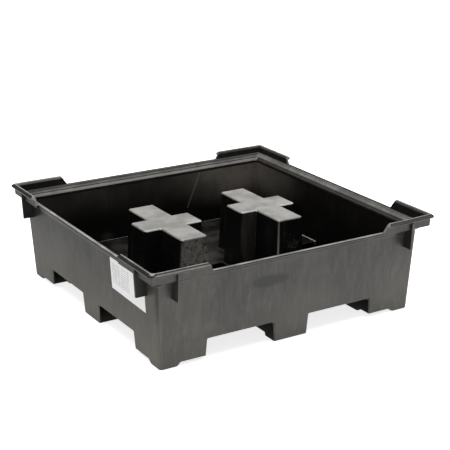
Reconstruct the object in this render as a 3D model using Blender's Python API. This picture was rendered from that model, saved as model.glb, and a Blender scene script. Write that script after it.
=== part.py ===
"""Spill containment pallet: a square black polyethylene sump without its grate.

X runs along the front wall, Y from the front wall to the back wall, Z up.
The origin is on the ground under the middle of the sump. All lengths are in metres.
The sump is one thin-walled moulding, divided here at its natural edges into named pieces.
"""

import math

import bmesh
import bpy
from mathutils import Vector

# Driving dimensions
RIM_HALF = 0.611        # middle of the sump to the outer edge of the rim
LEFT_RIM_INSET = 0.011  # the left rim stands this much less far out than the others
RIM_TOP = 0.361         # height of the rim above the ground
LEDGE_TOP = 0.338       # height of the seat for the grate, and of the pillars
EAR_TOP = 0.3964        # height of the raised corner ears
EAR_HALF = 0.6255       # middle of the sump to the outer edge of an ear's lip
POCKET_TOP = 0.0825     # height of the fork pockets
FLOOR_TOP = 0.0880      # height of the sump floor
GAP = 0.0003            # clearance between neighbouring pieces

# Walls: a plane leaning outwards
WALL_HALF = 0.559       # middle of the sump to the wall's outer plane at ground level
WALL_LEAN = 0.052       # outward run of a wall for each metre of height
WALL_SKIN = 0.008
WALL_TOP = 0.325
OUTER_CORNER = 0.014
INNER_CORNER = 0.014

# Rim and ledge
LEDGE_EDGE = 0.567      # middle of the sump to the inner edge of the ledge
LEDGE_FOOT = 0.5785     # middle of the sump to the foot of the slope behind the ledge
UPSTAND_FOOT = (0.5915, 0.3522)  # where the slope turns into the upstand
RIM_INNER = 0.5933
FLARE_FOOT = (0.5775, 0.3325)   # where the flare below the rim leaves the wall
FLARE_END = (0.6000, 0.3492)    # where the flare meets the underside of the lip
FLARE_CORNER = 0.022
RIM_LIP_BASE = 0.3530
RIM_CORNER = 0.010
LIP_ROUND = 0.003       # rounding of the lips and of the ledge's edge

# Corner ears
EAR_BASE = RIM_TOP + GAP
EAR_FOOT_INNER = 0.5960     # inner edge of the foot that lies on the rim
EAR_FOOT_THICK = 0.0030
EAR_INNER_LOW = 0.6010      # riser's inner face at its foot
EAR_INNER_HIGH = 0.6045     # the same at its top
EAR_BAND_HALF = 0.6125      # riser's outer face
EAR_LIP_BASE = 0.3815
EAR_CREST = 0.6165          # middle of the sump to the highest line of the lip
EAR_CORNER = 0.006
EAR_RUN = 0.019             # run of an ear's sloping end
EAR_RISE = 0.030            # rise of the slope over that run
# distance from the middle planes to the tops of the two sloping ends, along X and along Y
EAR_ENDS = {
    "front_left": (0.385, 0.376),
    "front_right": (0.405, 0.394),
    "back_left": (0.396, 0.404),
    "back_right": (0.387, 0.384),
}

# Gusset plates that carry the ears
GUSSET_PLACE = 0.511        # distance from the middle plane
SHIFTED_GUSSETS = {("left", "front"): 0.497, ("front", "right"): 0.517}
GUSSET_THICK = 0.0094
GUSSET_BASE = 0.272
GUSSET_LOW_HALF = 0.6185    # middle of the sump to a plate's outer edge, at its foot
GUSSET_HIGH_HALF = 0.6240   # the same under the lip

# Feet
FOOT_LEAN = 0.07
CORNER_FOOT_EDGE = 0.3685   # distance from the middle plane to a corner foot, at the ground
MID_FOOT_HALF_X = 0.0745    # half width of the front, back and centre feet, at the ground
MID_FOOT_HALF_Y = 0.0665    # half width of the left and right feet, at the ground
FOOT_SKIN = 0.007
FOOT_CORNER = 0.012
FOOT_EDGE = 0.006           # rounding along a foot's lower edge
WELL_FLOOR = 0.0225
CENTRE_WELL_FLOOR = 0.0075
NOTCH_HIGH = 0.015
NOTCH_SLOPE = 0.016         # run of a notch's sloping ends
NOTCH_TOE = 0.470           # distance from the middle plane to the corner toe, at the notch's roof
NOTCH_DEEP = 0.497          # distance from the middle plane to the back of a corner foot's notch
MID_PAD_END = 0.489         # inner end of the pad under the front and back feet
SIDE_PAD_END = 0.455        # inner end of the pad under the left and right feet
PAD_SLOPE = 0.0053          # run of the sloping end of a pad
NOTCH_START = 0.3385        # where the cutters of the notches and pads begin, clear of the feet

# Cross-shaped pillars
PILLAR_X = 0.2205
PILLAR_LONG = 0.2236        # half length of the arms along Y, at the top
PILLAR_SHORT = 0.1289       # half length of the arms along X, at the top
PILLAR_WIDE_X = 0.0569      # half width of the arms along Y
PILLAR_WIDE_Y = 0.0599      # half width of the arms along X
PILLAR_LEAN = 0.038
PILLAR_SKIN = 0.006
PILLAR_CORNER = 0.010
PILLAR_ROUND = 0.006        # rounding of the top edge
PILLAR_FLARE = 0.012        # flare where a pillar meets the floor

# Label on the left wall, slightly crooked
LABEL_FRONT_Y = -0.481
LABEL_BACK_Y = -0.215
LABEL_FRONT_BASE = 0.198
LABEL_BACK_BASE = 0.205
LABEL_TOP = 0.3245
LABEL_THICK = 0.0005

CORNER_STEPS = 4
OVERSHOOT = 0.01            # how far a cutter goes past the face it opens
SKIN_CLEAR = 0.0002         # how far two cuts of one notch overlap

SIDES = {"front": (0, -1), "back": (0, 1), "left": (-1, 0), "right": (1, 0)}
CORNERS = {
    "front_left": (-1, -1),
    "front_right": (1, -1),
    "back_left": (-1, 1),
    "back_right": (1, 1),
}


def clear_scene():
    for obj in list(bpy.data.objects):
        bpy.data.objects.remove(obj, do_unlink=True)


def plastic(name, colour, roughness):
    """A plain Principled material."""
    material = bpy.data.materials.new(name)
    material.use_nodes = True
    shader = material.node_tree.nodes["Principled BSDF"]
    shader.inputs["Base Color"].default_value = (*colour, 1.0)
    shader.inputs["Roughness"].default_value = roughness
    shader.inputs["Metallic"].default_value = 0.0
    return material


def to_object(name, bm, material):
    """Turns a bmesh into a named object with its faces pointing out."""
    bmesh.ops.recalc_face_normals(bm, faces=bm.faces)
    mesh = bpy.data.meshes.new(name)
    bm.to_mesh(mesh)
    bm.free()
    mesh.shade_smooth()
    mesh.set_sharp_from_angle(angle=math.radians(35))
    mesh.materials.append(material)
    obj = bpy.data.objects.new(name, mesh)
    bpy.context.scene.collection.objects.link(obj)
    return obj


def rounded(corners, radii, steps=CORNER_STEPS):
    """The outline through these corners, each turned into an arc of its radius."""
    outline = []
    for index, (corner, radius) in enumerate(zip(corners, radii)):
        here = Vector(corner)
        back = (Vector(corners[index - 1]) - here).normalized()
        ahead = (Vector(corners[(index + 1) % len(corners)]) - here).normalized()
        half_angle = back.angle(ahead) / 2
        reach = radius / math.tan(half_angle)
        centre = here + (back + ahead).normalized() * (radius / math.sin(half_angle))
        start = here + back * reach - centre
        end = here + ahead * reach - centre
        sweep = start.angle(end)
        for step in range(steps + 1):
            share = step / steps
            weight_start = math.sin((1 - share) * sweep) / math.sin(sweep)
            weight_end = math.sin(share * sweep) / math.sin(sweep)
            outline.append(centre + start * weight_start + end * weight_end)
    return outline


def rectangle(low_x, high_x, low_y, high_y, radius):
    corners = [(low_x, low_y), (high_x, low_y), (high_x, high_y), (low_x, high_y)]
    return rounded(corners, [radius] * 4)


def square(half, radius):
    return rectangle(-half, half, -half, half, radius)


def cross(centre_x, grow, radius):
    """A pillar's plan, with every side moved outwards by grow."""
    long_y = PILLAR_LONG + grow
    short_x = PILLAR_SHORT + grow
    wide_x = PILLAR_WIDE_X + grow
    wide_y = PILLAR_WIDE_Y + grow
    quarter = [(short_x, wide_y), (wide_x, wide_y), (wide_x, long_y)]
    corners = quarter
    corners = corners + [(-x, y) for x, y in reversed(quarter)]
    corners = corners + [(-x, -y) for x, y in quarter]
    corners = corners + [(x, -y) for x, y in reversed(quarter)]
    inner = 2 * PILLAR_CORNER - radius
    radii = [radius, inner, radius] * 4
    return [point + Vector((centre_x, 0.0)) for point in rounded(corners, radii)]


def at_height(outline, z):
    return [(point.x, point.y, z) for point in outline]


def loft(loops, ring=False):
    """A closed solid through loops of equal length: capped at both ends, or joined end to start."""
    bm = bmesh.new()
    rows = [[bm.verts.new(point) for point in loop] for loop in loops]
    pairs = list(zip(rows, rows[1:]))
    if ring:
        pairs.append((rows[-1], rows[0]))
    else:
        bm.faces.new(rows[0])
        bm.faces.new(rows[-1])
    for first, second in pairs:
        for index in range(len(first)):
            following = (index + 1) % len(first)
            bm.faces.new((first[index], first[following], second[following], second[index]))
    return bm


def square_ring(profile):
    """A section of (half size, corner radius, height) points carried round the sump."""
    return loft([at_height(square(half, radius), z) for half, radius, z in profile], ring=True)


def keep_side(bm, point, normal):
    """Cuts the mesh with a plane and keeps what the normal points away from."""
    geometry = list(bm.verts) + list(bm.edges) + list(bm.faces)
    cut = bmesh.ops.bisect_plane(
        bm, geom=geometry, plane_co=point, plane_no=normal, clear_outer=True
    )
    edges = [item for item in cut["geom_cut"] if isinstance(item, bmesh.types.BMEdge)]
    bmesh.ops.holes_fill(bm, edges=edges, sides=0)


def mitre(bm, side):
    """Keeps the quarter of a ring that lies on this side, up to its corner diagonals."""
    towards = Vector((*SIDES[side], 0.0))
    across = Vector((-towards.y, towards.x, 0.0))
    for turn in (across, -across):
        keep_side(bm, towards * GAP, turn - towards)


def wall_half(z):
    return WALL_HALF + WALL_LEAN * z


def add_walls(material):
    inner_low = wall_half(POCKET_TOP) - WALL_SKIN
    inner_high = wall_half(WALL_TOP) - WALL_SKIN
    profile = [
        (wall_half(POCKET_TOP), OUTER_CORNER, POCKET_TOP),
        (wall_half(WALL_TOP), OUTER_CORNER, WALL_TOP),
        (inner_high, INNER_CORNER, WALL_TOP),
        (inner_low, INNER_CORNER, POCKET_TOP),
    ]
    for side in SIDES:
        bm = square_ring(profile)
        mitre(bm, side)
        to_object(f"wall_{side}", bm, material)


def rim_outline(half, radius):
    """The rim's plan at a distance from the middle; its upper part is set in on the left."""
    flare_from = FLARE_FOOT[0]
    share = (half - flare_from) / (UPSTAND_FOOT[0] - flare_from)
    inset = LEFT_RIM_INSET * min(max(share, 0.0), 1.0)
    return rectangle(inset - half, half, -half, half, radius)


def add_rims(material):
    """Four rails: the ledge for the grate, the upstand and the rim's rounded outward lip."""
    base = WALL_TOP + GAP
    profile = [
        (wall_half(base), OUTER_CORNER, base),
        (FLARE_FOOT[0], OUTER_CORNER, FLARE_FOOT[1]),
        (FLARE_END[0], FLARE_CORNER, FLARE_END[1]),
        (FLARE_END[0], FLARE_CORNER, RIM_LIP_BASE),
        (RIM_HALF - LIP_ROUND / 2, RIM_CORNER, RIM_LIP_BASE),
        (RIM_HALF, RIM_CORNER, RIM_LIP_BASE + LIP_ROUND / 2),
        (RIM_HALF, RIM_CORNER, RIM_TOP - LIP_ROUND),
        (RIM_HALF - LIP_ROUND, RIM_CORNER, RIM_TOP),
        (RIM_INNER + LIP_ROUND, RIM_CORNER, RIM_TOP),
        (RIM_INNER, RIM_CORNER, RIM_TOP - LIP_ROUND),
        (UPSTAND_FOOT[0], RIM_CORNER, UPSTAND_FOOT[1]),
        (LEDGE_FOOT, RIM_CORNER, LEDGE_TOP),
        (LEDGE_EDGE + LIP_ROUND, INNER_CORNER, LEDGE_TOP),
        (LEDGE_EDGE, INNER_CORNER, LEDGE_TOP - LIP_ROUND),
        (LEDGE_EDGE, INNER_CORNER, base),
    ]
    for side in SIDES:
        loops = [at_height(rim_outline(half, radius), z) for half, radius, z in profile]
        bm = loft(loops, ring=True)
        mitre(bm, side)
        to_object(f"rim_{side}", bm, material)


def add_ears(material):
    """Four raised L-shaped corners that curl outwards into a thick lip; their ends slope."""
    section = [
        (EAR_FOOT_INNER, EAR_BASE),
        (EAR_BAND_HALF, EAR_BASE),
        (EAR_BAND_HALF, EAR_LIP_BASE),
        (EAR_HALF - LIP_ROUND, EAR_LIP_BASE),
        (EAR_HALF, EAR_LIP_BASE + LIP_ROUND),
        (EAR_HALF, EAR_TOP - 2 * LIP_ROUND),
        (EAR_HALF - LIP_ROUND, EAR_TOP - LIP_ROUND),
        (EAR_CREST, EAR_TOP),
        (EAR_CREST - 1.5 * LIP_ROUND, EAR_TOP - LIP_ROUND / 2),
        (EAR_INNER_HIGH + LIP_ROUND, EAR_TOP - 1.5 * LIP_ROUND),
        (EAR_INNER_HIGH, EAR_TOP - 3.5 * LIP_ROUND),
        (EAR_INNER_LOW, EAR_BASE + EAR_FOOT_THICK),
        (EAR_FOOT_INNER, EAR_BASE + EAR_FOOT_THICK),
    ]
    profile = [(half, EAR_CORNER, z) for half, z in section]
    slope = EAR_RUN / EAR_RISE
    for corner, (sign_x, sign_y) in CORNERS.items():
        bm = square_ring(profile)
        axes = (Vector((sign_x, 0.0, 0.0)), Vector((0.0, sign_y, 0.0)))
        for axis, reach in zip(axes, EAR_ENDS[corner]):
            end = axis * (reach - EAR_RUN) + Vector((0.0, 0.0, EAR_BASE))
            keep_side(bm, end, Vector((0.0, 0.0, slope)) - axis)
        to_object(f"corner_ear_{corner}", bm, material)


def gusset_section(inset):
    """A plate's outline from the wall out to the ear's lip, as (distance from the middle, z)."""
    base = WALL_TOP + GAP
    return [
        (wall_half(GUSSET_BASE) + GAP, GUSSET_BASE),
        (GUSSET_LOW_HALF, GUSSET_BASE),
        (GUSSET_HIGH_HALF, EAR_LIP_BASE - GAP),
        (EAR_BAND_HALF + GAP, EAR_LIP_BASE - GAP),
        (EAR_BAND_HALF + GAP, RIM_LIP_BASE - GAP),
        (FLARE_END[0] + GAP - inset, RIM_LIP_BASE - GAP),
        (FLARE_END[0] + GAP - inset, FLARE_END[1] - GAP),
        (FLARE_FOOT[0] + GAP, FLARE_FOOT[1] - 2 * GAP),
        (wall_half(base) + 2 * GAP, base - GAP),
    ]


def add_gussets(material):
    """Two plates under each ear, one on each wall."""
    for sign_x, sign_y in CORNERS.values():
        side_x = "left" if sign_x < 0 else "right"
        side_y = "front" if sign_y < 0 else "back"
        for side, near in ((side_x, side_y), (side_y, side_x)):
            section = gusset_section(LEFT_RIM_INSET if side == "left" else 0.0)
            middle = SHIFTED_GUSSETS.get((side, near), GUSSET_PLACE)
            loops = []
            for place in (middle - GUSSET_THICK / 2, middle + GUSSET_THICK / 2):
                if side == side_y:
                    loops.append([(sign_x * place, sign_y * out, z) for out, z in section])
                else:
                    loops.append([(sign_x * out, sign_y * place, z) for out, z in section])
            to_object(f"gusset_{side}_wall_{near}", loft(loops), material)


def foot_bounds(place_x, place_y, z):
    """A foot's outer faces at a height, as (low x, high x, low y, high y)."""
    bounds = []
    for place, mid_half in ((place_x, MID_FOOT_HALF_X), (place_y, MID_FOOT_HALF_Y)):
        if place == 0:
            half = mid_half + FOOT_LEAN * z
            low, high = -half, half
        else:
            inner = CORNER_FOOT_EDGE - FOOT_LEAN * z
            low, high = sorted((place * inner, place * wall_half(z)))
        bounds += [low, high]
    return bounds


def foot_outline(place_x, place_y, z, shrink, radius):
    low_x, high_x, low_y, high_y = foot_bounds(place_x, place_y, z)
    return rectangle(low_x + shrink, high_x - shrink, low_y + shrink, high_y - shrink, radius)


def well_outline(place_x, place_y, z):
    return foot_outline(place_x, place_y, z, FOOT_SKIN, FOOT_CORNER)


def foot_body(place_x, place_y):
    """A cup: a rounded block with the well open at its top."""
    top = POCKET_TOP - GAP
    floor = CENTRE_WELL_FLOOR if place_x == place_y == 0 else WELL_FLOOR
    loops = []
    for angle in (0.0, 0.25 * math.pi, 0.5 * math.pi):
        z = FOOT_EDGE * (1 - math.cos(angle))
        shrink = FOOT_EDGE * (1 - math.sin(angle))
        loops.append(at_height(foot_outline(place_x, place_y, z, shrink, FOOT_CORNER), z))
    loops.append(at_height(foot_outline(place_x, place_y, top, 0.0, FOOT_CORNER), top))
    loops.append(at_height(well_outline(place_x, place_y, top), top))
    loops.append(at_height(well_outline(place_x, place_y, floor), floor))
    return loft(loops)


def wedge(low, high, z_low, z_high, material):
    """A cutter between two rectangles, each (low x, high x, low y, high y)."""
    loops = []
    for (x0, x1, y0, y1), z in ((low, z_low), (high, z_high)):
        loops.append([(x0, y0, z), (x1, y0, z), (x1, y1, z), (x0, y1, z)])
    cutter = to_object("cutter", loft(loops), material)
    cutter.hide_render = True
    cutter.display_type = "WIRE"
    return cutter


def cut(obj, cutter):
    modifier = obj.modifiers.new("cut", "BOOLEAN")
    modifier.operation = "DIFFERENCE"
    modifier.solver = "EXACT"
    modifier.object = cutter


def mirrored(bounds, sign_x, sign_y):
    x0, x1 = sorted((sign_x * bounds[0], sign_x * bounds[1]))
    y0, y1 = sorted((sign_y * bounds[2], sign_y * bounds[3]))
    return x0, x1, y0, y1


def add_feet(material):
    """Nine hollow feet; shallow notches leave only toes and pads on the ground."""
    columns = {"left": -1, "middle": 0, "right": 1}
    rows = {"front": -1, "middle": 0, "back": 1}
    beyond = RIM_HALF
    for row, place_y in rows.items():
        for column, place_x in columns.items():
            centre = place_x == place_y == 0
            name = "foot_centre" if centre else f"foot_{row}_{column}"
            foot = to_object(name, foot_body(place_x, place_y), material)
            cuts = []
            if place_x and place_y:
                for swap in (False, True):
                    roof = (NOTCH_START, NOTCH_TOE, NOTCH_DEEP, beyond)
                    mouth = (NOTCH_START, NOTCH_TOE + NOTCH_SLOPE, NOTCH_DEEP - NOTCH_SLOPE, beyond)
                    if swap:
                        roof = roof[2:] + roof[:2]
                        mouth = mouth[2:] + mouth[:2]
                    cuts.append((mouth, roof))
            elif place_y:
                wide = 2 * MID_FOOT_HALF_X
                cuts.append(
                    (
                        (-wide, wide, NOTCH_START, MID_PAD_END + PAD_SLOPE),
                        (-wide, wide, NOTCH_START, MID_PAD_END),
                    )
                )
            elif place_x:
                wide = 2 * MID_FOOT_HALF_Y
                cuts.append(
                    (
                        (NOTCH_START, SIDE_PAD_END + PAD_SLOPE, -wide, wide),
                        (NOTCH_START, SIDE_PAD_END, -wide, wide),
                    )
                )
            for mouth, roof in cuts:
                mouth = mirrored(mouth, place_x or 1, place_y or 1)
                roof = mirrored(roof, place_x or 1, place_y or 1)
                cut(foot, wedge(mouth, roof, 0.0, NOTCH_HIGH, material))
                # The cutter starts below the ground so that it leaves no skin there.
                cut(foot, wedge(mouth, mouth, -OVERSHOOT, SKIN_CLEAR, material))


def add_floor(material):
    """The deck between the wells, open into each well and under each pillar."""
    half = wall_half(POCKET_TOP) - WALL_SKIN - GAP
    plate = loft([at_height(square(half, INNER_CORNER), z) for z in (POCKET_TOP, FLOOR_TOP)])
    floor = to_object("sump_floor", plate, material)
    openings = []
    for place_x in (-1, 0, 1):
        for place_y in (-1, 0, 1):
            x0, x1, y0, y1 = foot_bounds(place_x, place_y, POCKET_TOP)
            x0 = x0 - OVERSHOOT if place_x < 0 else x0 + FOOT_SKIN
            x1 = x1 + OVERSHOOT if place_x > 0 else x1 - FOOT_SKIN
            y0 = y0 - OVERSHOOT if place_y < 0 else y0 + FOOT_SKIN
            y1 = y1 + OVERSHOOT if place_y > 0 else y1 - FOOT_SKIN
            openings.append(rectangle(x0, x1, y0, y1, FOOT_CORNER))
    for side in (-1, 1):
        openings.append(cross(side * PILLAR_X, pillar_grow(FLOOR_TOP) - PILLAR_SKIN, PILLAR_CORNER))
    for outline in openings:
        below = POCKET_TOP - OVERSHOOT
        above = FLOOR_TOP + OVERSHOOT
        cutter = to_object("cutter", loft([at_height(outline, below), at_height(outline, above)]), material)
        cutter.hide_render = True
        cutter.display_type = "WIRE"
        cut(floor, cutter)


def pillar_grow(z):
    return PILLAR_LEAN * (LEDGE_TOP - z)


def add_pillars(material):
    """Two hollow cross-shaped pillars, open into the fork channels below."""
    base = FLOOR_TOP + GAP
    for name, side in (("left", -1), ("right", 1)):
        x = side * PILLAR_X
        loops = []
        for angle in (0.0, 0.25 * math.pi, 0.5 * math.pi):
            z = LEDGE_TOP - PILLAR_ROUND * (1 - math.cos(angle))
            grow = pillar_grow(z) - PILLAR_ROUND * (1 - math.sin(angle))
            loops.append(at_height(cross(x, grow, PILLAR_CORNER), z))
        for angle in (0.0, 0.25 * math.pi, 0.5 * math.pi):
            z = base + PILLAR_FLARE * (1 - math.sin(angle))
            grow = pillar_grow(z) + PILLAR_FLARE * (1 - math.cos(angle))
            loops.append(at_height(cross(x, grow, PILLAR_CORNER), z))
        for z in (base, LEDGE_TOP - PILLAR_SKIN):
            grow = pillar_grow(z) - PILLAR_SKIN
            loops.append(at_height(cross(x, grow, PILLAR_CORNER), z))
        to_object(f"pillar_{name}", loft(loops), material)


def add_label(material):
    """A plain adhesive label on the left wall, lying along its lean."""
    loops = []
    for out in (GAP, GAP + LABEL_THICK):
        row = []
        for y, z in (
            (LABEL_FRONT_Y, LABEL_FRONT_BASE),
            (LABEL_BACK_Y, LABEL_BACK_BASE),
            (LABEL_BACK_Y, LABEL_TOP),
            (LABEL_FRONT_Y, LABEL_TOP),
        ):
            row.append((-wall_half(z) - out, y, z))
        loops.append(row)
    to_object("wall_label", loft(loops), material)


def main():
    clear_scene()
    black = plastic("black_polyethylene", (0.035, 0.034, 0.031), 0.5)
    white = plastic("label_film", (0.80, 0.80, 0.78), 0.6)
    add_floor(black)
    add_feet(black)
    add_walls(black)
    add_rims(black)
    add_ears(black)
    add_gussets(black)
    add_pillars(black)
    add_label(white)


main()
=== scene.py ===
"""Looks of the spill containment pallet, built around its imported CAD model.

X runs along the front wall, Y from the front wall to the back wall, Z up, in metres.
The tub below the rim is made in one piece, so that its roundings run on across the divisions, and is
then divided where the CAD model is. The rim, the ears, the gussets and the label are made on their own.
"""

import math

import bmesh
import bpy
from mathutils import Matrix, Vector


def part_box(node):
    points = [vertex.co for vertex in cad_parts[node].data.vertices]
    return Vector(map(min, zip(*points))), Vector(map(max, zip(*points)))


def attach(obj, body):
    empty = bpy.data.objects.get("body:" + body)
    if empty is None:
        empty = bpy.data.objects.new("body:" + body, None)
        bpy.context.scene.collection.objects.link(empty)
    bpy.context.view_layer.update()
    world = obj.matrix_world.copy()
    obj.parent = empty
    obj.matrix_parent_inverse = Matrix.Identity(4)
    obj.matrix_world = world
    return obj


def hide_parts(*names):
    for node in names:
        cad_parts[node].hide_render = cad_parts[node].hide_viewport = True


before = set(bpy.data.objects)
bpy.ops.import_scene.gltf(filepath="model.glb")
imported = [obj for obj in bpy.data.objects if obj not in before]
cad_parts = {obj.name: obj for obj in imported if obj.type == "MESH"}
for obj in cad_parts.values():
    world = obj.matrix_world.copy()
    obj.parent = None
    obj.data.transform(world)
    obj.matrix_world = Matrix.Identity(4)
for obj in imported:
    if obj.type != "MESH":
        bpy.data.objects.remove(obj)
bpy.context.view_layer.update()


# ---------------------------------------------------------------- places in the CAD model
X, Y, Z = range(3)


def start_of(node, axis):
    """Where a CAD node starts along an axis, to a tenth of a millimetre."""
    return round(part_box(node)[0][axis], 4)


def end_of(node, axis):
    return round(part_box(node)[1][axis], 4)


def middle_of(node, axis):
    return round(sum(corner[axis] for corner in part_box(node)) / 2, 4)


# ---------------------------------------------------------------- dimensions
SIDES = {"front": (0, -1), "back": (0, 1), "left": (-1, 0), "right": (1, 0)}
CORNERS = {
    "front_left": (-1, -1),
    "front_right": (1, -1),
    "back_left": (-1, 1),
    "back_right": (1, 1),
}

# Walls, deck and rim
WALL_LEAN = 0.052           # outward run of a wall for each metre of height
WALL_SKIN = 0.008
WALL_TOP = end_of("wall_right", Z)
# middle of the sump to the wall's outer plane at ground level
WALL_HALF = end_of("wall_right", X) - WALL_LEAN * WALL_TOP
BODY_TOP = 0.350            # the walls are first built this high, then cut off at WALL_TOP
OUTER_CORNER = 0.014        # plan radius of the walls' corners, outside
INNER_CORNER = 0.014        # the same inside
FLOOR_TOP = end_of("sump_floor", Z)
LEDGE_TOP = end_of("pillar_right", Z)     # height of the seat for the grate, and of the pillars
RIM_TOP = end_of("rim_right", Z)
LEFT_RIM_INSET = 0.011      # the left rim stands this much less far out than the others
INSET_FROM = 0.578          # middle of the sump to where that inset starts
INSET_RUN = 0.012           # how much further out it is at its full size

# Feet and fork pockets
POCKET_TOP = start_of("sump_floor", Z)       # height of the fork pockets
FOOT_LEAN = 0.07            # run of a foot's sides for each metre of height
FOOT_SKIN = 0.007
CORNER_FOOT_EDGE = 0.3685   # distance from the middle plane to a corner foot, at the ground
MID_X = 0.0745              # half width of the front, back and centre feet, at the ground
MID_Y = 0.0665              # half width of the left and right feet, at the ground
WELL_FLOOR = 0.0225         # height of the floor inside the feet
NOTCH_HIGH = 0.015
NOTCH_SLOPE = 0.016         # run of a notch's sloping ends
NOTCH_TOE = 0.470           # distance from the middle plane to the corner toe, at the notch's roof
NOTCH_DEEP = 0.497          # distance from the middle plane to the back of a corner foot's notch
MID_PAD_END = 0.489         # inner end of the pad under the front and back feet
SIDE_PAD_END = 0.455        # inner end of the pad under the left and right feet
PAD_SLOPE = 0.005           # run of the sloping end of a pad

# Cross-shaped pillars
PILLAR_X = middle_of("pillar_right", X)    # middle of the sump to the middle of a pillar
PILLAR_LONG = 0.2236        # half length of the arms along Y, at the top
PILLAR_SHORT = 0.1289       # half length of the arms along X, at the top
PILLAR_WIDE_X = 0.0569      # half width of the arms along Y
PILLAR_WIDE_Y = 0.0599      # half width of the arms along X
PILLAR_LEAN = 0.038
PILLAR_SKIN = 0.006
PILLAR_BASE = FLOOR_TOP - 0.003     # the pillars start just inside the floor
HOLLOW_BASE = 0.07          # their hollows are cut from here, in the open under the floor
HOLLOW_TOP = LEDGE_TOP - PILLAR_SKIN

# Ears
# the sloping end of an arm, as (distance past its start, height)
EAR_END = [(-0.0075, 0.340), (0.0, 0.3615), (0.019, 0.391), (0.030, 0.405)]
EAR_END_ROUND = 0.004       # rounding where an arm's sloping end meets the rim
EAR_START = 0.2             # distance from the middle planes at which the arms are first cut off
EAR_EDGES = (0.485, 0.530, 0.575)   # extra edges across the arms, where a lip can bend and its shade change
# share of the section's plan radii that an ear has: all of them in front on the left, half elsewhere
EAR_BLUNT = {"front_left": 1.0}
COMMON_BLUNT = 0.5
LEAST_RADIUS = 0.004
LIFT_FROM = 0.364           # what lies above this height is lifted
LIFT = {"front_left": 0.0003, "back_left": 0.0012, "back_right": -0.0045}
WARP = 0.0045               # the front right ear rises by this much towards its corner
WARP_FROM = 0.45
WARP_RUN = 0.15

# Gussets
GUSSET_BASE = start_of("gusset_front_wall_left", Z)
GUSSET_TOP = 0.3825

# Label, slightly crooked
LABEL_FRONT_Y, LABEL_BACK_Y = start_of("wall_label", Y), end_of("wall_label", Y)
LABEL_FRONT_BASE, LABEL_BACK_BASE = start_of("wall_label", Z), 0.205
LABEL_TOP = 0.3286
LABEL_ROUND = 0.002
LABEL_FACES = (0.0001, 0.0006)      # how far its two faces stand off the wall

# Where the tub is divided into pieces
FOOT_CUT = 0.074
WALL_CUT = 0.5455
WALL_ZONE = 0.5             # what lies further out than this, high up, belongs to the walls
FOOT_SPLIT = 0.2            # between the middle feet and the outer ones
DIAGONALS = [((0, 0, 0), (1, -1, 0)), ((0, 0, 0), (1, 1, 0))]

# Cutters
CHANNEL_REACH = 0.7         # the fork channels' cutters run this far out
NOTCH_START, NOTCH_END = 0.30, 0.65
PAD_START = 0.33
PAD_HALF_X, PAD_HALF_Y = 0.15, 0.12     # half widths of the cutters under the middle feet
SINK = 0.001                # how far below the ground the notches' cutters start
CHANNEL_SINK = 0.01         # the same for the fork channels
OVERSHOOT = 0.02            # how far the sump's void goes past the walls
EAR_CUT = (0.55, 0.66)      # the ear ends' cutters reach from here to here


# ---------------------------------------------------------------- mesh tools
def rounded(corners, radii, steps):
    """The outline through these corners, each turned into an arc of its radius."""
    outline = []
    for index, (corner, radius) in enumerate(zip(corners, radii)):
        here = Vector(corner)
        if radius == 0:
            outline.append(here)
            continue
        back = (Vector(corners[index - 1]) - here).normalized()
        ahead = (Vector(corners[(index + 1) % len(corners)]) - here).normalized()
        half_angle = back.angle(ahead) / 2
        reach = radius / math.tan(half_angle)
        centre = here + (back + ahead).normalized() * (radius / math.sin(half_angle))
        start = here + back * reach - centre
        end = here + ahead * reach - centre
        sweep = start.angle(end)
        for step in range(steps + 1):
            share = step / steps
            first = math.sin((1 - share) * sweep) / math.sin(sweep)
            second = math.sin(share * sweep) / math.sin(sweep)
            outline.append(centre + start * first + end * second)
    return outline


def rectangle(x0, x1, y0, y1, radius=0.0, steps=6):
    return rounded([(x0, y0), (x1, y0), (x1, y1), (x0, y1)], [radius] * 4, steps)


def square(half, radius=0.0, steps=6):
    return rectangle(-half, half, -half, half, radius, steps)


def cross(x, grow):
    """A pillar's plan, every side moved outwards by grow."""
    quarter = [(PILLAR_SHORT, PILLAR_WIDE_Y), (PILLAR_WIDE_X, PILLAR_WIDE_Y), (PILLAR_WIDE_X, PILLAR_LONG)]
    quarter = [(a + grow, b + grow) for a, b in quarter]
    corners = list(quarter)
    corners += [(-a, b) for a, b in reversed(quarter)]
    corners += [(-a, -b) for a, b in quarter]
    corners += [(a, -b) for a, b in reversed(quarter)]
    return [Vector((a + x, b)) for a, b in corners]


def at(outline, z):
    """A plan outline, lifted to a height."""
    return [(p[0], p[1], z) for p in outline]


def loft(loops, ring=False):
    """The solid through these loops, closed by end faces, or turned back into itself as a ring."""
    bm = bmesh.new()
    rows = [[bm.verts.new(p) for p in loop] for loop in loops]
    pairs = list(zip(rows, rows[1:]))
    if ring:
        pairs.append((rows[-1], rows[0]))
    else:
        bm.faces.new(rows[0])
        bm.faces.new(rows[-1])
    for a, b in pairs:
        for i in range(len(a)):
            j = (i + 1) % len(a)
            bm.faces.new((a[i], a[j], b[j], b[i]))
    bmesh.ops.recalc_face_normals(bm, faces=bm.faces)
    return bm


def to_object(name, bm):
    mesh = bpy.data.meshes.new(name)
    bm.to_mesh(mesh)
    bm.free()
    obj = bpy.data.objects.new(name, mesh)
    bpy.context.scene.collection.objects.link(obj)
    return obj


def applied(obj):
    """Turns an object's modifiers into its mesh."""
    graph = bpy.context.evaluated_depsgraph_get()
    mesh = bpy.data.meshes.new_from_object(obj.evaluated_get(graph))
    obj.modifiers.clear()
    obj.data = mesh
    return obj


def combine(target, other, operation):
    modifier = target.modifiers.new("combine", "BOOLEAN")
    modifier.operation = operation
    modifier.solver = "EXACT"
    modifier.object = other
    applied(target)
    bpy.data.objects.remove(other, do_unlink=True)
    return target


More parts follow.
